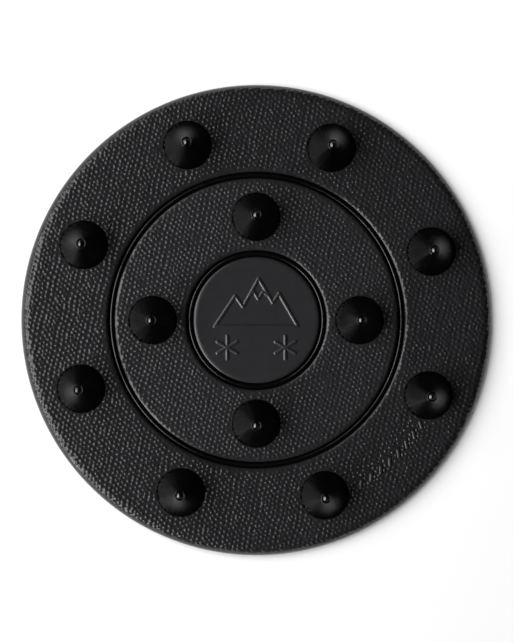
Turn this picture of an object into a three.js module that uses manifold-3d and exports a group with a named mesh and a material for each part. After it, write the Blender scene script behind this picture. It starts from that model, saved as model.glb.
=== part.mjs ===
// Round traction pad: a black rubber disc with twelve low cone spikes, two
// ringed grooves and a round centre badge, on foam tape and a release liner.
// Millimetres, +Z up. Origin: centre of the liner's underside.
import * as THREE from 'three';
import { mergeVertices } from 'three/addons/utils/BufferGeometryUtils.js';
import Module from 'manifold-3d';

// ---- heights ----
const LINER_TOP = 0.2;         // release liner, 0.2 thick
const TAPE_TOP = 1.2;          // foam tape, 1.0 thick
const FLOOR = 2.6;             // top of the base plate, which is the floor of the grooves
const FACE = 4.2;              // walking surface
const SPIKE_RISE = 9.0;        // tip of a spike above the face
const SPIKE_SINK = 0.25;       // its cone starts just under the face
const BEAD_SINK = 0.3;         // a bead's crest lies just under the face
const BADGE_RELIEF = 0.25;
const MARK_RELIEF = 0.3;
const ROOT = 0.3;              // how deep a raised mark is rooted in its piece

// ---- plan ----
const PAD_R = 60.4;            // the pad is about 121 across
const EDGE_R = 2.9;            // quarter-round along the outer edge
const SKIRT_IN = 57.9;         // inside of the skirt that wraps the base plate
const PLATE_R = 57.7;
const TAPE_R = 59.4;
const LINER_R = 60.0;
const INNER_GROOVE = { from: 16.1, to: 17.9, bead: 17.0 };   // the badge fills the inside
const OUTER_GROOVE = { from: 36.2, to: 37.95, bead: 37.07 };
const BEAD_WIDTH = 0.78;
const LIP = { across: 1.0, down: 0.4 };   // eased lips of the grooves
const HOLE_LIP = 0.2;

// ---- spikes ----
const SPIKE_R = 6.15;
const HOLE_R = 6.25;
const COLLAR_R = 1.25;         // dished collar around the nub
const COLLAR_DROP = 0.55;      // collar below the tip
const NUB_R = 0.75;
const INNER_SPIKES = { count: 4, pitchRadius: 26.4, firstDeg: 0 };
const OUTER_SPIKES = { count: 8, pitchRadius: 48.0, firstDeg: 21.4 };

// ---- raised marks ----
const MARKS = { count: 8, pitchRadius: 48.8, fromDeg: -58, toDeg: -33 };
const MARK_HALF = 1.6;         // half height of a chevron, along the radius
const MARK_POINT = 1.3;        // how far its point runs ahead
const MARK_WIDTH = 0.65;
const RIDGE_WIDTH = 0.5;
const FLAKE_R = 2.9;
const FLAKE_AT = { x: 7.4, y: -7.0 };

const RING_SEGMENTS = 72;
const SPIKE_SEGMENTS = 24;

const wasm = await Module();
wasm.setup();

// ---- helpers ----

// Keep positions only, weld shared vertices and drop the flat triangles that
// a turned profile leaves on its axis.
function weld(geometry) {
  geometry.deleteAttribute('normal');
  geometry.deleteAttribute('uv');
  const welded = mergeVertices(geometry, 1e-4);
  const source = welded.index.array;
  const kept = [];
  for (let i = 0; i < source.length; i += 3) {
    const [a, b, c] = [source[i], source[i + 1], source[i + 2]];
    if (a !== b && b !== c && c !== a) kept.push(a, b, c);
  }
  welded.setIndex(kept);
  return welded;
}

// Turn a [radius, height] outline, listed anticlockwise, about the vertical axis.
function turned(outline, segments) {
  const points = outline.getPoints(3);
  return weld(new THREE.LatheGeometry(points, segments).rotateX(Math.PI / 2));
}

function outlineFrom(points) {
  return new THREE.Path(points.map(([r, z]) => new THREE.Vector2(r, z)));
}

function disc(radius, z0, z1) {
  return turned(outlineFrom([[0, z0], [radius, z0], [radius, z1], [0, z1]]), RING_SEGMENTS);
}

function toSolid(geometry) {
  return new wasm.Manifold(new wasm.Mesh({
    numProp: 3,
    vertProperties: new Float32Array(geometry.attributes.position.array),
    triVerts: new Uint32Array(geometry.index.array),
  }));
}

function toGeometry(solid) {
  const { vertProperties, triVerts } = solid.getMesh();
  const geometry = new THREE.BufferGeometry();
  geometry.setAttribute('position', new THREE.BufferAttribute(new Float32Array(vertProperties), 3));
  geometry.setIndex(new THREE.BufferAttribute(new Uint32Array(triVerts), 1));
  return geometry;
}

function cut(body, tools) {
  return tools.reduce((solid, tool) => solid.subtract(toSolid(tool)), body);
}

function join(body, pieces) {
  return pieces.reduce((solid, piece) => solid.add(toSolid(piece)), body);
}

// Raised straight ridge between two points of the face, rooted in it.
function ridge([x0, y0], [x1, y1], width, relief) {
  const length = Math.hypot(x1 - x0, y1 - y0) + width;
  const shape = new THREE.Shape([
    new THREE.Vector2(-length / 2, -width / 2), new THREE.Vector2(length / 2, -width / 2),
    new THREE.Vector2(length / 2, width / 2), new THREE.Vector2(-length / 2, width / 2),
  ]);
  const bar = new THREE.ExtrudeGeometry(shape, { depth: relief + ROOT, bevelEnabled: false });
  bar.rotateZ(Math.atan2(y1 - y0, x1 - x0));
  bar.translate((x0 + x1) / 2, (y0 + y1) / 2, FACE - ROOT);
  return weld(bar);
}

function ridges(points, width, relief) {
  return points.slice(1).map((point, i) => ridge(points[i], point, width, relief));
}

function placesOf({ count, pitchRadius, firstDeg }) {
  return Array.from({ length: count }, (_, i) => {
    const turn = THREE.MathUtils.degToRad(firstDeg + (360 / count) * i);
    return { turn, x: pitchRadius * Math.cos(turn), y: pitchRadius * Math.sin(turn) };
  });
}

// ---- spikes and their holes ----

function spikeGeometry() {
  const tip = FACE + SPIKE_RISE;
  return turned(outlineFrom([
    [0, FLOOR], [SPIKE_R, FLOOR], [SPIKE_R, FACE - SPIKE_SINK],
    [COLLAR_R, tip - COLLAR_DROP],
    [NUB_R + 0.1, tip - COLLAR_DROP - 0.1], [NUB_R * 0.8, tip - 0.3], [NUB_R * 0.4, tip - 0.07],
    [0, tip],
  ]), SPIKE_SEGMENTS);
}

// Cutter for a spike's hole, flaring at the face.
function holeAt({ x, y, turn }) {
  const cutter = turned(outlineFrom([
    [0, FLOOR - 1], [HOLE_R, FLOOR - 1], [HOLE_R, FACE - HOLE_LIP / 2],
    [HOLE_R + HOLE_LIP, FACE + HOLE_LIP / 2], [HOLE_R + HOLE_LIP, FACE + 1], [0, FACE + 1],
  ]), SPIKE_SEGMENTS);
  return cutter.rotateZ(turn).translate(x, y, 0);
}

// ---- rings ----

function beadGeometry(radius) {
  const half = BEAD_WIDTH / 2;
  const crest = FACE - BEAD_SINK;
  return turned(outlineFrom([
    [radius - half, FLOOR], [radius + half, FLOOR], [radius + half, crest - half],
    [radius, crest], [radius - half, crest - half], [radius - half, FLOOR],
  ]), RING_SEGMENTS);
}

// Eased lip of a groove wall, from the wall up to the face. Side is +1 where the
// face lies outside the wall, -1 where it lies inside.
function lip(wall, side) {
  return [
    [wall, FACE - LIP.down],
    [wall + side * LIP.across * 0.2, FACE - LIP.down * 0.4],
    [wall + side * LIP.across, FACE],
  ];
}

function innerRingGeometry() {
  const [from, to] = [INNER_GROOVE.to, OUTER_GROOVE.from];
  const ring = turned(outlineFrom([
    [from, FLOOR], [to, FLOOR], ...lip(to, -1), ...lip(from, 1).reverse(), [from, FLOOR],
  ]), RING_SEGMENTS);
  return toGeometry(cut(toSolid(ring), placesOf(INNER_SPIKES).map(holeAt)));
}

// The outer ring rolls over the outer edge and wraps the base plate.
function outerRingGeometry() {
  const from = OUTER_GROOVE.to;
  const outline = outlineFrom([
    [from, FLOOR], [SKIRT_IN, FLOOR], [SKIRT_IN, TAPE_TOP], [PAD_R, TAPE_TOP],
  ]);
  outline.absarc(PAD_R - EDGE_R, FACE - EDGE_R, EDGE_R, 0, Math.PI / 2, false);
  [...lip(from, 1).reverse(), [from, FLOOR]].forEach(([r, z]) => outline.lineTo(r, z));
  const ring = toSolid(turned(outline, RING_SEGMENTS));
  return toGeometry(join(cut(ring, placesOf(OUTER_SPIKES).map(holeAt)), chevrons()));
}

// A row of chevrons along the ring, pointing anticlockwise.
function chevrons() {
  const step = (MARKS.toDeg - MARKS.fromDeg) / (MARKS.count - 1);
  return Array.from({ length: MARKS.count }, (_, i) => {
    const turn = THREE.MathUtils.degToRad(MARKS.fromDeg + step * i);
    const point = (radial, along) => [
      (MARKS.pitchRadius + radial) * Math.cos(turn) - along * Math.sin(turn),
      (MARKS.pitchRadius + radial) * Math.sin(turn) + along * Math.cos(turn),
    ];
    const corners = [point(-MARK_HALF, 0), point(0, MARK_POINT), point(MARK_HALF, 0)];
    return ridges(corners, MARK_WIDTH, MARK_RELIEF);
  }).flat();
}

// ---- centre badge: mountain range over two snowflakes ----

function snowflake(x, y) {
  return [30, 90, 150].map((deg) => {
    const turn = THREE.MathUtils.degToRad(deg);
    const [dx, dy] = [FLAKE_R * Math.cos(turn), FLAKE_R * Math.sin(turn)];
    return ridge([x - dx, y - dy], [x + dx, y + dy], RIDGE_WIDTH, BADGE_RELIEF);
  });
}

function badgeGeometry() {
  const body = toSolid(turned(outlineFrom([
    [0, FLOOR], [INNER_GROOVE.from, FLOOR], ...lip(INNER_GROOVE.from, -1), [0, FACE],
  ]), RING_SEGMENTS));
  const skyline = [
    [-10.6, -1.6], [-5.4, 6.2], [-3.4, 3.4], [0.6, 10.6], [4.2, 4.4], [5.8, 6.8], [10.6, -1.6],
    [-10.6, -1.6],
  ];
  const snowLine = [[-2.0, 6.0], [-0.6, 7.2], [0.5, 5.4], [1.7, 7.2], [3.2, 6.1]];
  return toGeometry(join(body, [
    ...ridges(skyline, RIDGE_WIDTH, BADGE_RELIEF),
    ...ridges(snowLine, RIDGE_WIDTH, BADGE_RELIEF),
    ...snowflake(-FLAKE_AT.x, FLAKE_AT.y),
    ...snowflake(FLAKE_AT.x, FLAKE_AT.y),
  ]));
}

// ---- materials ----
function material(color, roughness) {
  return new THREE.MeshStandardMaterial({ color, roughness, metalness: 0 });
}
const paper = material(0xd9d4c6, 0.7);
const foam = material(0x8f9194, 0.85);
const mattRubber = material(0x0c0c0d, 0.75);
const grainedRubber = material(0x17181a, 0.55);
const glossRubber = material(0x141416, 0.3);
const badgeRubber = material(0x1d1e20, 0.6);
const spikePlastic = material(0x0e0e10, 0.35);

// ---- scene graph ----
const tractionPad = new THREE.Group();
tractionPad.name = 'traction_pad';
const pad = new THREE.Group();
pad.name = 'pad';
tractionPad.add(pad);

function addPiece(parent, name, geometry, look) {
  geometry.computeVertexNormals();
  const mesh = new THREE.Mesh(geometry, look);
  mesh.name = name;
  parent.add(mesh);
  return mesh;
}

addPiece(tractionPad, 'release_liner', disc(LINER_R, 0, LINER_TOP), paper);
addPiece(pad, 'adhesive_layer', disc(TAPE_R, LINER_TOP, TAPE_TOP), foam);
addPiece(pad, 'base_plate', disc(PLATE_R, TAPE_TOP, FLOOR), mattRubber);
addPiece(pad, 'outer_grip_ring', outerRingGeometry(), grainedRubber);
addPiece(pad, 'inner_grip_ring', innerRingGeometry(), grainedRubber);
addPiece(pad, 'outer_bead_ring', beadGeometry(OUTER_GROOVE.bead), glossRubber);
addPiece(pad, 'inner_bead_ring', beadGeometry(INNER_GROOVE.bead), glossRubber);
addPiece(pad, 'centre_badge', badgeGeometry(), badgeRubber);

for (const [ring, spec] of [['inner', INNER_SPIKES], ['outer', OUTER_SPIKES]]) {
  placesOf(spec).forEach(({ x, y, turn }, i) => {
    const spike = addPiece(pad, `${ring}_spike_${i + 1}`, spikeGeometry(), spikePlastic);
    spike.position.set(x, y, 0);
    spike.rotation.z = turn;
  });
}

export default tractionPad;
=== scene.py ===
"""Looks for a round rubber traction pad with twelve cone spikes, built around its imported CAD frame.

Lengths in the making code are in millimetres; make_piece() turns them into metres.
"""
import math
import bpy
import numpy as np
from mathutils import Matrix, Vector
from mathutils.geometry import delaunay_2d_cdt


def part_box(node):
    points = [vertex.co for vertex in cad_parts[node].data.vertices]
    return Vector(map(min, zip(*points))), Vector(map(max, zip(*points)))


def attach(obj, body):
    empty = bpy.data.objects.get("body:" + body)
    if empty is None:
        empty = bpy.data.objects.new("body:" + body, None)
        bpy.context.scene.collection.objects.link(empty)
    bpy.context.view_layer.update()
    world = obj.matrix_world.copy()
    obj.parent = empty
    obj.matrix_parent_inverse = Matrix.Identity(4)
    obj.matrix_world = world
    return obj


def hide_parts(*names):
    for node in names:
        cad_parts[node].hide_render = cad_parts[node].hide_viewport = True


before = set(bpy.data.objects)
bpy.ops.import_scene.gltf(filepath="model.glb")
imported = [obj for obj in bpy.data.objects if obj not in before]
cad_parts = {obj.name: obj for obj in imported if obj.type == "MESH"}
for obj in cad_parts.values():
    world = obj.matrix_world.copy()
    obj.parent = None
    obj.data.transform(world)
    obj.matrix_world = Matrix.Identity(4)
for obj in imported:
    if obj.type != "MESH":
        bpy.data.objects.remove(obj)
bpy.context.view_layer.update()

MM = 0.001
SEED = 7


# ---------------------------------------------------------------- sizes, from the frame
def node_box(node):
    """Lowest and highest corner of a CAD node, in millimetres."""
    low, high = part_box(node)
    return np.array(low) / MM, np.array(high) / MM


LINER_TOP = node_box("release_liner")[1][2]
LINER_R = node_box("release_liner")[1][0]
TAPE_R = node_box("adhesive_layer")[1][0]
TAPE_TOP = node_box("base_plate")[0][2]
PLATE_R = node_box("base_plate")[1][0]
FLOOR_Z = node_box("base_plate")[1][2]
FACE = node_box("inner_grip_ring")[1][2]
PAD_R = node_box("outer_grip_ring")[1][0]
RING_OUT = node_box("inner_grip_ring")[1][0]
BADGE_R = node_box("centre_badge")[1][0]
SPIKE_R = (node_box("inner_spike_1")[1] - node_box("inner_spike_1")[0])[0] / 2
SPIKE_TOP = node_box("inner_spike_1")[1][2]
BEAD_TOP = node_box("inner_bead_ring")[1][2]
BEAD_HALF = 0.39
INNER_BEAD_R = node_box("inner_bead_ring")[1][0] - BEAD_HALF
OUTER_BEAD_R = node_box("outer_bead_ring")[1][0] - BEAD_HALF
RING_IN = 17.9            # inner wall of the inner grip ring
OUTER_IN = 37.95          # inner wall of the outer grip ring
EDGE_R = 2.9              # quarter-round of the outer edge
SKIRT_IN = 57.9           # inside of the skirt that wraps the base plate
SKIRT_STRAIGHT = 0.05     # upright part of the skirt, under the quarter-round
FOOT_UP, FOOT_IN = 0.02, 0.03    # ease of the skirt's lower edge
HOLE_R = SPIKE_R + 0.012  # spike holes in the rings, with a small rounded lip
HOLE_LIP = 0.05
LIP_ACROSS, LIP_DOWN = 1.1, 0.4    # eased lips of the grooves
SPIKE_SINK = 0.03         # a cone starts just under the face
COLLAR_R, COLLAR_DROP = 1.25, 0.55
FINE_STEP = 0.15          # mesh pitch under raised marks


def spike_centre(node):
    low, high = node_box(node)
    return (low[:2] + high[:2]) / 2


INNER_SPIKES = [f"inner_spike_{i}" for i in range(1, 5)]
OUTER_SPIKES = [f"outer_spike_{i}" for i in range(1, 9)]


# ---------------------------------------------------------------- materials
SHEEN_SCALE = 1400.0


def socket_noise(nodes, links, coords, scale, detail=4.0, rough=0.55):
    noise = nodes.new("ShaderNodeTexNoise")
    noise.inputs["Scale"].default_value = scale
    noise.inputs["Detail"].default_value = detail
    noise.inputs["Roughness"].default_value = rough
    links.new(coords, noise.inputs["Vector"])
    return noise.outputs["Fac"]


def ramp(nodes, links, factor, low, high, stops=(0.3, 0.7)):
    """Colour ramp between two greys or colours."""
    node = nodes.new("ShaderNodeValToRGB")
    for element, colour, stop in zip(node.color_ramp.elements, (low, high), stops):
        element.color = (*colour, 1.0)
        element.position = stop
    links.new(factor, node.inputs["Fac"])
    return node.outputs["Color"]


def span(nodes, links, factor, low, high, source=(0.3, 0.7)):
    node = nodes.new("ShaderNodeMapRange")
    node.inputs["From Min"].default_value, node.inputs["From Max"].default_value = source
    node.inputs["To Min"].default_value, node.inputs["To Max"].default_value = low, high
    links.new(factor, node.inputs["Value"])
    return node.outputs["Result"]


def moulded(name, dark, light, rough, grain_depth, mottle=260.0, grain=8000.0, specular=0.5,
            polish=None):
    """Moulded rubber or plastic: slow mottling in colour and sheen, fine surface grain as bump.

    mottle and grain are noise scales, grain_depth is in millimetres, and polish is (from height,
    to height, specular above it), for tips with a shine.
    """
    material = bpy.data.materials.new(name)
    material.use_nodes = True
    nodes, links = material.node_tree.nodes, material.node_tree.links
    shader = nodes["Principled BSDF"]
    coords = nodes.new("ShaderNodeTexCoord").outputs["Object"]
    mottling = socket_noise(nodes, links, coords, mottle)
    links.new(ramp(nodes, links, mottling, dark, light), shader.inputs["Base Color"])
    sheen = socket_noise(nodes, links, coords, SHEEN_SCALE, 3.0)
    links.new(span(nodes, links, sheen, *rough), shader.inputs["Roughness"])
    shader.inputs["Specular IOR Level"].default_value = specular
    if polish:
        start, end, worn = polish
        parts = nodes.new("ShaderNodeSeparateXYZ")
        links.new(coords, parts.inputs["Vector"])
        links.new(span(nodes, links, parts.outputs["Z"], specular, worn, (start * MM, end * MM)),
                  shader.inputs["Specular IOR Level"])
    fine = socket_noise(nodes, links, coords, grain, 0.0)
    bumps = nodes.new("ShaderNodeBump")
    bumps.inputs["Strength"].default_value = 1.0
    bumps.inputs["Distance"].default_value = grain_depth * MM
    links.new(fine, bumps.inputs["Height"])
    links.new(bumps.outputs["Normal"], shader.inputs["Normal"])
    return material


def grey(value):
    """A grey that leans slightly to blue."""
    return (value, value, value * 1.08)


LOOKS = {
    "grained_rubber": moulded("grained_rubber", grey(0.0195), grey(0.0235), (0.15, 0.2),
                              grain_depth=0.012, specular=0.36),
    # The inner ring's rubber is painted lighter than the outer ring's: painted light for the brighter
    # light that falls on the middle of the pad.
    "inner_rubber_painted_light": moulded("inner_rubber_painted_light", grey(0.0235), grey(0.0275), (0.15, 0.2),
                            grain_depth=0.012, specular=0.36),
    # The base plate's rubber is painted near black: painted shade for the groove floors, which lie
    # deep in the grooves' shadow.
    "matt_rubber": moulded("matt_rubber", grey(0.0003), grey(0.0005), (0.65, 0.8),
                           grain_depth=0.055, specular=0.1),
    "gloss_rubber": moulded("gloss_rubber", grey(0.003), grey(0.004), (0.16, 0.2),
                            grain_depth=0.02),
    "badge_rubber": moulded("badge_rubber", grey(0.027), grey(0.031), (0.18, 0.24),
                            grain_depth=0.02),
    "spike_plastic": moulded("spike_plastic", grey(0.0003), grey(0.0005), (0.14, 0.18),
                             grain_depth=0.03, specular=0.3,
                             polish=(SPIKE_TOP - 0.6, SPIKE_TOP - 0.4, 1.0)),
    "tape_foam": moulded("tape_foam", grey(0.23), grey(0.33), (0.75, 0.95), mottle=900.0,
                         grain=5200.0, grain_depth=0.1),
    "liner_paper": moulded("liner_paper", (0.62, 0.58, 0.49), (0.74, 0.7, 0.61), (0.45, 0.6),
                           mottle=500.0, grain=4200.0, grain_depth=0.02),
}


# ---------------------------------------------------------------- mesh helpers
def make_piece(name, vertices, faces, look, body, *nodes, sharp_deg=50.0):
    """A closed mesh from millimetre vertices, which rides on a body and stands for CAD nodes."""
    mesh = bpy.data.meshes.new(name)
    mesh.from_pydata((np.asarray(vertices) * MM).tolist(), [], faces)
    mesh.validate()
    mesh.shade_smooth()
    mesh.set_sharp_from_angle(angle=math.radians(sharp_deg))
    mesh.materials.append(LOOKS[look])
    piece = bpy.data.objects.new(name, mesh)
    bpy.context.scene.collection.objects.link(piece)
    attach(piece, body)
    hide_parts(*nodes)
    return piece


def arc(centre_r, centre_z, radius, start_deg, end_deg, steps):
    """Points [r, z] along an arc, both ends included."""
    angles = np.radians(np.linspace(start_deg, end_deg, steps + 1))
    return [(centre_r + radius * math.cos(a), centre_z + radius * math.sin(a)) for a in angles]


def turned(profile, segments, centre=(0.0, 0.0)):
    """Vertices and faces of an anticlockwise [r, z] profile turned about a vertical axis.

    A profile that starts and ends on the axis makes a closed solid; any other closes on itself.
    """
    profile = [tuple(p) for p in profile]
    on_axis = profile[0][0] == 0 and profile[-1][0] == 0
    angles = np.arange(segments) * 2 * math.pi / segments
    vertices, rows = [], []
    for r, z in profile:
        if r == 0:
            rows.append([len(vertices)] * segments)
            vertices.append((centre[0], centre[1], z))
        else:
            rows.append(list(range(len(vertices), len(vertices) + segments)))
            vertices += [(centre[0] + r * math.cos(a), centre[1] + r * math.sin(a), z)
                         for a in angles]
    faces = []
    pairs = list(zip(rows, rows[1:])) if on_axis else list(zip(rows, rows[1:] + rows[:1]))
    for lower, upper in pairs:
        for k in range(segments):
            n = (k + 1) % segments
            face = [lower[k], lower[n], upper[n], upper[k]]
            face = [v for i, v in enumerate(face) if v != face[i - 1]]
            if len(face) > 2:
                faces.append(face)
    return vertices, faces


# ---------------------------------------------------------------- the pebble grain
class Grain:
    """Pebbles on a bent and jittered hexagonal lattice: low domes, each its own size and slant."""

    PITCH = 1.235
    JITTER = 0.13
    BEND = 0.14
    HEIGHT = 0.22

    def __init__(self, reach, seed):
        rng = np.random.default_rng(seed)
        self.half = int(reach / self.PITCH * 1.2) + 3
        size = 2 * self.half + 1
        i, j = np.meshgrid(np.arange(size) - self.half, np.arange(size) - self.half, indexing="ij")
        self.turn = math.radians(17.0)
        x, y = self.from_lattice(i, j)
        jitter = rng.uniform(-1, 1, (2, size, size)) * self.JITTER * self.PITCH
        self.x, self.y = x + jitter[0], y + jitter[1]
        for _ in range(5):
            heading, drift, phase = rng.uniform(0, 2 * math.pi, 3)
            along = x * math.cos(heading) + y * math.sin(heading)
            push = self.BEND * np.sin(along * 2 * math.pi / rng.uniform(6, 11) + phase)
            self.x += push * math.cos(drift)
            self.y += push * math.sin(drift)
        self.radius = rng.uniform(0.47, 0.59, (size, size))
        self.height = rng.uniform(0.75, 1.15, (size, size)) * self.HEIGHT
        self.stretch = rng.uniform(1.0, 1.15, (size, size))
        self.slant = rng.uniform(0, math.pi, (size, size))

    def from_lattice(self, i, j):
        u, v = (i + j / 2) * self.PITCH, j * self.PITCH * math.sqrt(3) / 2
        c, s = math.cos(self.turn), math.sin(self.turn)
        return u * c - v * s, u * s + v * c

    def to_lattice(self, x, y):
        c, s = math.cos(self.turn), math.sin(self.turn)
        u, v = x * c + y * s, -x * s + y * c
        j = v * 2 / math.sqrt(3) / self.PITCH
        return u / self.PITCH - j / 2, j

    def relief(self, x, y):
        """Height of the grain above the bare face at each point."""
        i0, j0 = (np.rint(q).astype(int) + self.half for q in self.to_lattice(x, y))
        top = np.zeros_like(x)
        for di in (-2, -1, 0, 1, 2):
            for dj in (-2, -1, 0, 1, 2):
                i = np.clip(i0 + di, 0, self.x.shape[0] - 1)
                j = np.clip(j0 + dj, 0, self.x.shape[1] - 1)
                dx, dy = x - self.x[i, j], y - self.y[i, j]
                c, s = np.cos(self.slant[i, j]), np.sin(self.slant[i, j])
                along, across = (dx * c + dy * s) / self.stretch[i, j], -dx * s + dy * c
                t = (along**2 + across**2) / self.radius[i, j] ** 2
                top = np.maximum(top, self.height[i, j] * np.clip(1 - t, 0, 1))
        return top

    def points(self, inside):
        """Mesh points that follow the pebbles: crown, two rings on the flank, and the valleys."""
        keep = inside(self.x, self.y)
        cx, cy, radius = self.x[keep], self.y[keep], self.radius[keep]
        stretch, slant = self.stretch[keep], self.slant[keep]
        clouds = [np.stack([cx, cy], 1)]
        for share, count, phase in ((0.55, 6, 0.3), (0.97, 8, 0.0)):
            for k in range(count):
                a = phase + 2 * math.pi * k / count
                u, v = share * radius * stretch * math.cos(a), share * radius * math.sin(a)
                c, s = np.cos(slant), np.sin(slant)
                clouds.append(np.stack([cx + u * c - v * s, cy + u * s + v * c], 1))
        x, y = self.x, self.y
        for corners in (((0, 0), (1, 0), (0, 1)), ((1, 1), (1, 0), (0, 1))):
            n = x.shape[0] - 1
            px = sum(x[a:a + n, b:b + n] for a, b in corners) / 3
            py = sum(y[a:a + n, b:b + n] for a, b in corners) / 3
            m = inside(px, py)
            clouds.append(np.stack([px[m], py[m]], 1))
        cloud = np.concatenate(clouds)
        return cloud[inside(cloud[:, 0], cloud[:, 1])]


def smooth(t):
    t = np.clip(t, 0, 1)
    return t * t * (3 - 2 * t)


def circle(radius, count, centre=(0.0, 0.0)):
    a = np.arange(count) * 2 * math.pi / count
    return np.stack([centre[0] + radius * np.cos(a), centre[1] + radius * np.sin(a)], 1)


def thin_out(points, cell):
    """At most one point in each square cell, so that no two mesh points crowd together."""
    keys = np.floor(points / cell).astype(int)
    _, first = np.unique(keys[:, 0] * 100000 + keys[:, 1], return_index=True)
    return points[np.sort(first)]


def triangulate(loops, rings, cloud, drop):
    """Delaunay triangles over closed loops, open rings and loose points.

    Returns points, triangles and, for each loop, the indices of its points.
    """
    points = [p for part in (*loops, *rings, cloud) for p in np.asarray(part)]
    edges, start = [], 0
    for loop in loops:
        n = len(loop)
        edges += [(start + k, start + (k + 1) % n) for k in range(n)]
        start += n
    found, _, triangles, origin, _, _ = delaunay_2d_cdt(
        [Vector((float(x), float(y))) for x, y in points], edges, [], 0, 1e-5)
    where = {}
    for index, sources in enumerate(origin):
        for source in sources:
            where[source] = index
    found = np.array([(p.x, p.y) for p in found])
    triangles = np.array(triangles)
    middle = found[triangles].mean(1)
    triangles = triangles[~drop(middle[:, 0], middle[:, 1])]
    indices, start = [], 0
    for loop in loops:
        indices.append([where[start + k] for k in range(len(loop))])
        start += len(loop)
    return found, triangles, indices


class Solid:
    """Vertices and faces of one closed piece, put together from patches that share loops."""

    def __init__(self):
        self.vertices, self.faces = [], []

    def add_points(self, points):
        start = len(self.vertices)
        self.vertices += [tuple(p) for p in points]
        return list(range(start, len(self.vertices)))

    def strip(self, lower, upper):
        n = len(lower)
        self.faces += [[lower[k], lower[(k + 1) % n], upper[(k + 1) % n], upper[k]]
                       for k in range(n)]

    def patch(self, triangles, indices, flip=False):
        order = (0, 2, 1) if flip else (0, 1, 2)
        self.faces += [[indices[t[k]] for k in order] for t in triangles]


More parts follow.
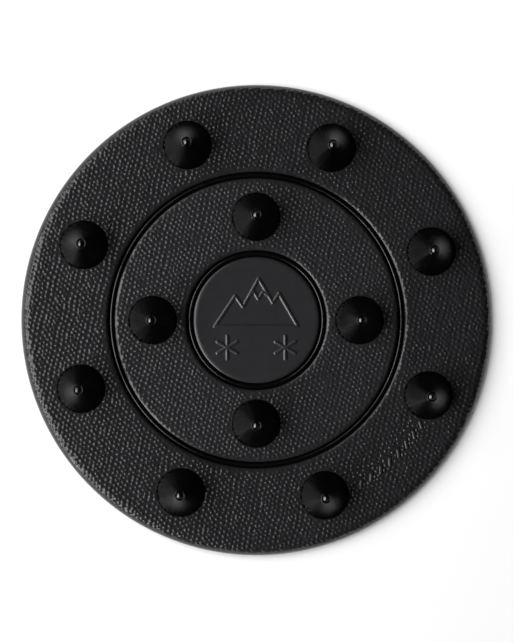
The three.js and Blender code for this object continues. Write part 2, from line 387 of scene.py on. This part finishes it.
# ---------------------------------------------------------------- grip rings
class GripRing:
    """A grained ring. In plan it is laid out flat, with its rounded edges unrolled."""

    def __init__(self, wall, outer, edge_across, edge_down, skirt, spikes):
        self.wall, self.outer = wall, outer
        self.edge_across, self.edge_down = edge_across, edge_down
        self.skirt = skirt
        self.holes = [spike_centre(node) for node in spikes]
        self.lip_length = self.ellipse_length(LIP_ACROSS, LIP_DOWN)
        self.edge_length = self.ellipse_length(edge_across, edge_down)
        self.flat_from = wall + LIP_ACROSS
        self.flat_to = outer - edge_across
        self.start = self.flat_from - self.lip_length
        self.end = self.flat_to + self.edge_length + self.skirt

    @staticmethod
    def ellipse_length(a, b, steps=64):
        t = np.linspace(0, math.pi / 2, steps + 1)
        return np.hypot(np.diff(a * np.sin(t)), np.diff(b * np.cos(t))).sum()

    @staticmethod
    def roll(u, a, b):
        """Across, drop and outward slope angle after running u along a quarter-ellipse edge."""
        t = np.linspace(0, math.pi / 2, 65)
        run = np.concatenate([[0], np.cumsum(np.hypot(np.diff(a * np.sin(t)),
                                                      np.diff(b * np.cos(t))))])
        at = np.interp(u, run, t)
        return a * np.sin(at), b * (1 - np.cos(at)), np.arctan2(b * np.sin(at), a * np.cos(at))

    def lift(self, x, y, grain, marks):
        """3-D place of points of the flat layout."""
        s, turn = np.hypot(x, y), np.arctan2(y, x)
        in_across, in_drop, in_tilt = self.roll(self.flat_from - s, LIP_ACROSS, LIP_DOWN)
        out_across, out_drop, out_tilt = self.roll(s - self.flat_to, self.edge_across,
                                                   self.edge_down)
        inside, outside = s < self.flat_from, s > self.flat_to
        r = np.where(inside, self.flat_from - in_across, np.where(outside,
                     self.flat_to + out_across, s))
        z = FACE - np.where(inside, in_drop, 0) - np.where(outside, out_drop, 0)
        z -= np.clip(s - self.flat_to - self.edge_length, 0, None)
        tilt = np.where(outside, out_tilt, np.where(inside, -in_tilt, 0))
        fade = smooth((s - self.flat_from + LIP_ACROSS - 0.15) / 0.45)
        if self.skirt:
            fade *= smooth((self.flat_to + 2.2 - s) / 0.7)
        else:
            fade *= smooth((self.flat_to + LIP_ACROSS - 0.15 - s) / 0.45)
        dx, dy = np.zeros_like(x), np.zeros_like(x)
        for hx, hy in self.holes:
            away = np.hypot(x - hx, y - hy)
            near = away < HOLE_R + HOLE_LIP
            a = np.clip((HOLE_R + HOLE_LIP - away) / HOLE_LIP, 0, math.pi / 2)
            pull = np.where(near, (HOLE_R + HOLE_LIP * (1 - np.sin(a))) / np.maximum(away, 1e-6), 1)
            dx += np.where(near, (x - hx) * (pull - 1), 0)
            dy += np.where(near, (y - hy) * (pull - 1), 0)
            z -= np.where(near, HOLE_LIP * (1 - np.cos(a)), 0)
            fade *= smooth((away - HOLE_R + 0.1) / 0.35)
        raised = np.zeros_like(x)
        for mark in marks:
            height, clear = mark(x, y)
            raised = np.maximum(raised, height)
            fade *= clear
        rise = grain.relief(x, y) * fade + raised
        r = r + rise * np.sin(tilt)
        z = z + rise * np.cos(tilt)
        return np.stack([r * np.cos(turn) + dx, r * np.sin(turn) + dy, z], 1)

    def build(self, name, look, body, grain, marks, fine, outer_count, inner_count):
        """fine: function that says where the mesh needs a fine even grid, or None."""
        hole_unrolled = HOLE_R + HOLE_LIP - HOLE_LIP * math.pi / 2
        hole_count = 110
        loops = [circle(self.start, inner_count), circle(self.end, outer_count)]
        loops += [circle(hole_unrolled, hole_count, h) for h in self.holes]
        rings = [circle(self.start + u, inner_count)
                 for u in np.array([0.14, 0.28, 0.42, 0.62, 0.85]) * self.lip_length]
        if self.skirt:
            rings.append(circle(self.end - 0.3, outer_count))
        else:
            rings += [circle(self.end - u, outer_count)
                      for u in np.array([0.14, 0.28, 0.42, 0.62, 0.85]) * self.edge_length]
        for hole in self.holes:
            rings += [circle(hole_unrolled + u, hole_count, hole) for u in (0.08, 0.16, 0.3)]
        low = self.start + 0.85 * self.lip_length + 0.15
        high = self.end - (0.45 if self.skirt else 0.85 * self.edge_length + 0.15)

        def inside(x, y):
            s = np.hypot(x, y)
            ok = (s > low) & (s < high)
            for hx, hy in self.holes:
                ok &= np.hypot(x - hx, y - hy) > hole_unrolled + 0.38
            return ok

        cloud = grain.points(inside)
        if fine is not None:
            box, where = fine
            cloud = cloud[~where(cloud[:, 0], cloud[:, 1])]
            gx, gy = np.meshgrid(np.arange(box[0], box[1], FINE_STEP),
                                 np.arange(box[2], box[3], FINE_STEP * 0.866))
            gx = gx + (np.arange(gx.shape[0])[:, None] % 2) * FINE_STEP / 2
            gx, gy = gx.ravel(), gy.ravel()
            ok = where(gx, gy) & inside(gx, gy)
            cloud = np.concatenate([cloud, np.stack([gx[ok], gy[ok]], 1)])
        cloud = thin_out(cloud, 0.1)

        def drop(x, y):
            s = np.hypot(x, y)
            out = (s < self.start) | (s > self.end)
            for hx, hy in self.holes:
                out |= np.hypot(x - hx, y - hy) < hole_unrolled * 0.998
            return out

        flat, triangles, edges = triangulate(loops, rings, cloud, drop)
        solid = Solid()
        top = solid.add_points(self.lift(flat[:, 0], flat[:, 1], grain, marks))
        solid.patch(triangles, top)
        inner_edge, outer_edge, *hole_edges = [[top[k] for k in e] for e in edges]

        # underside on the base plate, with the holes through it
        under_out = SKIRT_IN if self.skirt else self.outer
        under_loops = [circle(self.wall, inner_count), circle(under_out, outer_count)]
        under_loops += [circle(HOLE_R, hole_count, h) for h in self.holes]
        under, below, under_edges = triangulate(under_loops, [], np.zeros((0, 2)), lambda x, y: (
            (np.hypot(x, y) < self.wall * 0.9999) | (np.hypot(x, y) > under_out)
            | np.any([np.hypot(x - hx, y - hy) < HOLE_R * 0.998 for hx, hy in self.holes], axis=0)))
        bottom = solid.add_points([(x, y, FLOOR_Z) for x, y in under])
        solid.patch(below, bottom, flip=True)
        inner_bottom, outer_bottom, *hole_bottoms = [[bottom[k] for k in e] for e in under_edges]

        solid.strip(inner_edge, inner_bottom)
        for edge, foot in zip(hole_edges, hole_bottoms):
            solid.strip(edge, foot)
        if self.skirt:
            lower = solid.add_points([(x, y, TAPE_TOP + FOOT_UP)
                                      for x, y in circle(self.outer, outer_count)])
            foot = solid.add_points([(x, y, TAPE_TOP)
                                     for x, y in circle(self.outer - FOOT_IN, outer_count)])
            back = solid.add_points([(x, y, TAPE_TOP) for x, y in circle(SKIRT_IN, outer_count)])
            solid.strip(lower, outer_edge)
            solid.strip(foot, lower)
            solid.strip(back, foot)
            solid.strip(outer_bottom, back)
        else:
            solid.strip(outer_bottom, outer_edge)
        return make_piece(name, solid.vertices, solid.faces, look, body, name)


# ---------------------------------------------------------------- raised chevrons
MARK_COUNT, MARK_PCR = 8, 48.8
MARK_FROM, MARK_TO = math.radians(-58), math.radians(-33)
MARK_HALF, MARK_POINT, MARK_WIDTH, MARK_RISE = 1.6, 1.3, 0.8, 0.24


def distance_to_path(x, y, points):
    """Distance from each place to a polyline."""
    best = np.full_like(x, 1e9)
    for (x0, y0), (x1, y1) in zip(points, points[1:]):
        dx, dy = x1 - x0, y1 - y0
        t = np.clip(((x - x0) * dx + (y - y0) * dy) / (dx * dx + dy * dy), 0, 1)
        best = np.minimum(best, np.hypot(x - x0 - t * dx, y - y0 - t * dy))
    return best


def chevron_paths():
    paths = []
    for turn in np.linspace(MARK_FROM, MARK_TO, MARK_COUNT):
        c, s = math.cos(turn), math.sin(turn)
        place = [(MARK_PCR + radial, along) for radial, along in
                 ((-MARK_HALF, 0), (0, MARK_POINT), (MARK_HALF, 0))]
        paths.append([(r * c - a * s, r * s + a * c) for r, a in place])
    return paths


def marks_relief(x, y):
    """Height of the chevrons, and how far the grain is let in, at each place."""
    near = (np.abs(np.hypot(x, y) - MARK_PCR) < 4) & (np.abs(np.arctan2(y, x) + 0.8) < 0.35)
    away = np.full_like(x, 1e9)
    if near.any():
        away[near] = np.min([distance_to_path(x[near], y[near], p) for p in chevron_paths()], 0)
    height = MARK_RISE * smooth((MARK_WIDTH / 2 + 0.08 - away) / 0.22)
    return height, smooth((away - MARK_WIDTH / 2 - 0.05) / 0.45)


def marks_zone():
    corner = [MARK_PCR * math.cos(MARK_TO), MARK_PCR * math.sin(MARK_FROM)]
    box = (MARK_PCR * math.cos(MARK_FROM) - 3, corner[0] + 3, corner[1] - 3,
           MARK_PCR * math.sin(MARK_TO) + 3)

    def where(x, y):
        turn = np.arctan2(y, x)
        return ((np.abs(np.hypot(x, y) - MARK_PCR) < 2.1)
                & (turn > MARK_FROM - 0.012) & (turn < MARK_TO + 0.036))
    return box, where


# ---------------------------------------------------------------- pieces
outer_ring = GripRing(OUTER_IN, PAD_R, EDGE_R, EDGE_R, SKIRT_STRAIGHT, OUTER_SPIKES)
outer_ring.build("outer_grip_ring", "grained_rubber", "pad", Grain(66, SEED), [marks_relief],
                 marks_zone(), 720, 600)
inner_ring = GripRing(RING_IN, RING_OUT, LIP_ACROSS, LIP_DOWN, 0.0, INNER_SPIKES)
# The inner ring takes the lighter rubber, which is painted light for the brighter middle of the pad.
inner_ring.build("inner_grip_ring", "inner_rubber_painted_light", "pad", Grain(40, SEED + 1), [], None, 600, 320)


def bead(name, radius):
    crown = arc(radius, BEAD_TOP - BEAD_HALF, BEAD_HALF, 0, 180, 12)
    vertices, faces = turned([(radius - BEAD_HALF, FLOOR_Z), (radius + BEAD_HALF, FLOOR_Z),
                              *crown], 480)
    make_piece(name, vertices, faces, "gloss_rubber", "pad", name)


bead("outer_bead_ring", OUTER_BEAD_R)
bead("inner_bead_ring", INNER_BEAD_R)


def spike(node):
    """Cone with a dished collar and a round-topped nub at the tip."""
    base, tip, collar = FACE - SPIKE_SINK, SPIKE_TOP, COLLAR_R
    collar_z = tip - COLLAR_DROP
    foot = [(0, FLOOR_Z), (SPIKE_R, FLOOR_Z), (SPIKE_R, base)]
    flank = [(SPIKE_R + (collar - SPIKE_R) * t, base + (collar_z - base) * t)
             for t in np.linspace(0.01, 1, 36)]
    dish = [(collar - 0.1, collar_z + 0.03), (collar - 0.22, collar_z - 0.04),
            (0.96, collar_z - 0.12), (0.84, collar_z - 0.14)]
    nub = [(0.8, -0.52), (0.78, -0.45), (0.72, -0.39), (0.6, -0.305), (0.45, -0.195),
           (0.32, -0.1), (0.22, -0.042), (0.12, -0.012), (0.05, -0.002), (0, 0)]
    nub = [(r, tip + down) for r, down in nub]
    vertices, faces = turned(foot + flank + dish + nub, 128, spike_centre(node))
    make_piece(node, vertices, faces, "spike_plastic", "pad", node, sharp_deg=60)


for node in INNER_SPIKES + OUTER_SPIKES:
    spike(node)


def badge():
    """Smooth disc with an eased edge and a raised mountain-and-snowflake emblem."""
    skyline = [(-10.6, -1.6), (-5.4, 6.2), (-3.4, 3.4), (0.6, 10.6), (4.2, 4.4), (5.8, 6.8),
               (10.6, -1.6), (-10.6, -1.6)]
    snow_line = [(-2.0, 6.0), (-0.6, 7.2), (0.5, 5.4), (1.7, 7.2), (3.2, 6.1)]
    flakes = []
    for cx in (-7.4, 7.4):
        for deg in (30, 90, 150):
            dx, dy = 2.9 * math.cos(math.radians(deg)), 2.9 * math.sin(math.radians(deg))
            flakes.append([(cx - dx, -7.0 - dy), (cx + dx, -7.0 + dy)])
    paths = [skyline, snow_line, *flakes]
    lip_length = GripRing.ellipse_length(LIP_ACROSS, LIP_DOWN)
    flat_to = BADGE_R - LIP_ACROSS
    end = flat_to + lip_length
    count = 300
    rings = [circle(end - u * lip_length, count) for u in (0.14, 0.28, 0.42, 0.62, 0.85, 1.0)]
    gx, gy = np.meshgrid(np.arange(-BADGE_R, BADGE_R, FINE_STEP),
                         np.arange(-BADGE_R, BADGE_R, FINE_STEP * 0.866))
    gx = (gx + (np.arange(gx.shape[0])[:, None] % 2) * FINE_STEP / 2).ravel()
    gy = gy.ravel()
    ok = np.hypot(gx, gy) < flat_to - 0.15
    flat, triangles, (edge,) = triangulate([circle(end, count)], rings,
                                           np.stack([gx[ok], gy[ok]], 1),
                                           lambda x, y: np.zeros_like(x, bool))
    x, y = flat[:, 0], flat[:, 1]
    s, turn = np.hypot(x, y), np.arctan2(y, x)
    across, down, _ = GripRing.roll(s - flat_to, LIP_ACROSS, LIP_DOWN)
    r = np.where(s > flat_to, flat_to + across, s)
    away = np.min([distance_to_path(x, y, p) for p in paths], 0)
    relief = 0.25 * smooth((0.48 - away) / 0.3)
    z = FACE - np.where(s > flat_to, down, 0) + relief
    solid = Solid()
    top = solid.add_points(np.stack([r * np.cos(turn), r * np.sin(turn), z], 1))
    solid.patch(triangles, top)
    edge = [top[k] for k in edge]
    foot = solid.add_points([(px, py, FLOOR_Z) for px, py in circle(BADGE_R, count)])
    middle = solid.add_points([(0, 0, FLOOR_Z)])[0]
    solid.strip(foot, edge)
    solid.faces += [[foot[(k + 1) % count], foot[k], middle] for k in range(count)]
    make_piece("centre_badge", solid.vertices, solid.faces, "badge_rubber", "pad", "centre_badge")


badge()


def slab(name, radius, low, high, ease, look, body, bulge=0.0):
    side = [(radius - ease, low), (radius - ease * 0.3, low + ease * 0.3), (radius, low + ease),
            (radius + bulge, (low + high) / 2), (radius, high - ease),
            (radius - ease * 0.3, high - ease * 0.3), (radius - ease, high)]
    rings = [(radius * t, high) for t in (0.9, 0.6, 0.3)]
    vertices, faces = turned([(0, low), *side, *rings, (0, high)], 360)
    make_piece(name, vertices, faces, look, body, name)


# The base plate shows only as the groove floors, and its near-black rubber is painted shade there.
slab("base_plate", PLATE_R, TAPE_TOP, FLOOR_Z, 0.15, "matt_rubber", "pad")
slab("adhesive_layer", TAPE_R, LINER_TOP, TAPE_TOP, 0.05, "tape_foam", "pad", bulge=-0.08)
slab("release_liner", LINER_R, 0.0, LINER_TOP, 0.03, "liner_paper", "liner")


# ---------------------------------------------------------------- stage
def pale_floor():
    mesh = bpy.data.meshes.new("floor")
    half = 1.5
    mesh.from_pydata([(-half, -half, 0), (half, -half, 0), (half, half, 0), (-half, half, 0)],
                     [], [(0, 1, 2, 3)])
    material = bpy.data.materials.new("pale_floor")
    material.use_nodes = True
    shader = material.node_tree.nodes["Principled BSDF"]
    shader.inputs["Base Color"].default_value = (0.9, 0.9, 0.9, 1)
    shader.inputs["Roughness"].default_value = 0.8
    mesh.materials.append(material)
    floor = bpy.data.objects.new("floor", mesh)
    floor.location.z = -0.00005
    bpy.context.scene.collection.objects.link(floor)
    return floor


floor = pale_floor()


def group_of(name, objects):
    group = bpy.data.collections.new(name)
    for thing in objects:
        group.objects.link(thing)
    return group


only_floor = group_of("only_floor", [floor])
only_pad = group_of("only_pad", [o for o in bpy.context.scene.objects
                                 if o.type == "MESH" and o != floor])


def softbox(name, azimuth, elevation, distance, width, height, radiance, lights):
    """Rectangular lamp that faces the middle of the pad and lights one group, pad or floor.

    Azimuth is anticlockwise from +X.
    """
    data = bpy.data.lights.new(name, "AREA")
    data.shape = "RECTANGLE"
    data.size, data.size_y = width, height
    data.energy = radiance * math.pi * width * height
    lamp = bpy.data.objects.new(name, data)
    a, e = math.radians(azimuth), math.radians(elevation)
    place = Vector((math.cos(a) * math.cos(e), math.sin(a) * math.cos(e), math.sin(e))) * distance
    lamp.location = place
    lamp.rotation_euler = (-place).to_track_quat("-Z", "Y").to_euler()
    lamp.light_linking.receiver_collection = lights
    bpy.context.scene.collection.objects.link(lamp)


softbox("key", 193, 34, 1.0, 1.4, 0.52, 5.6, only_pad)
softbox("back_side", 142, 30, 0.8, 0.5, 0.4, 2.4, only_pad)
softbox("key_top", 185, 56, 0.8, 0.28, 0.24, 4.6, only_pad)
softbox("low_side", 218, 14, 0.8, 0.34, 0.2, 9.0, only_pad)
softbox("floor_wash", 165, 58, 1.0, 1.2, 1.2, 4.5, only_floor)

world = bpy.data.worlds.new("studio")
bpy.context.scene.world = world
world.use_nodes = True
world.node_tree.nodes["Background"].inputs["Color"].default_value = (1, 1, 1, 1)
world.node_tree.nodes["Background"].inputs["Strength"].default_value = 0.003

bpy.context.scene.view_settings.view_transform = "Standard"

CAMERA_HEIGHT = 0.448
FIELD = 0.1312            # width of the view at the pad's face
camera_data = bpy.data.cameras.new("camera")
camera_data.sensor_fit = "HORIZONTAL"
camera_data.angle = 2 * math.atan(FIELD / 2 / CAMERA_HEIGHT)
camera_data.clip_end = 10
camera = bpy.data.objects.new("camera", camera_data)
camera.location = (0.00015, -0.00023, FACE * MM + CAMERA_HEIGHT)
bpy.context.scene.collection.objects.link(camera)
bpy.context.scene.camera = camera
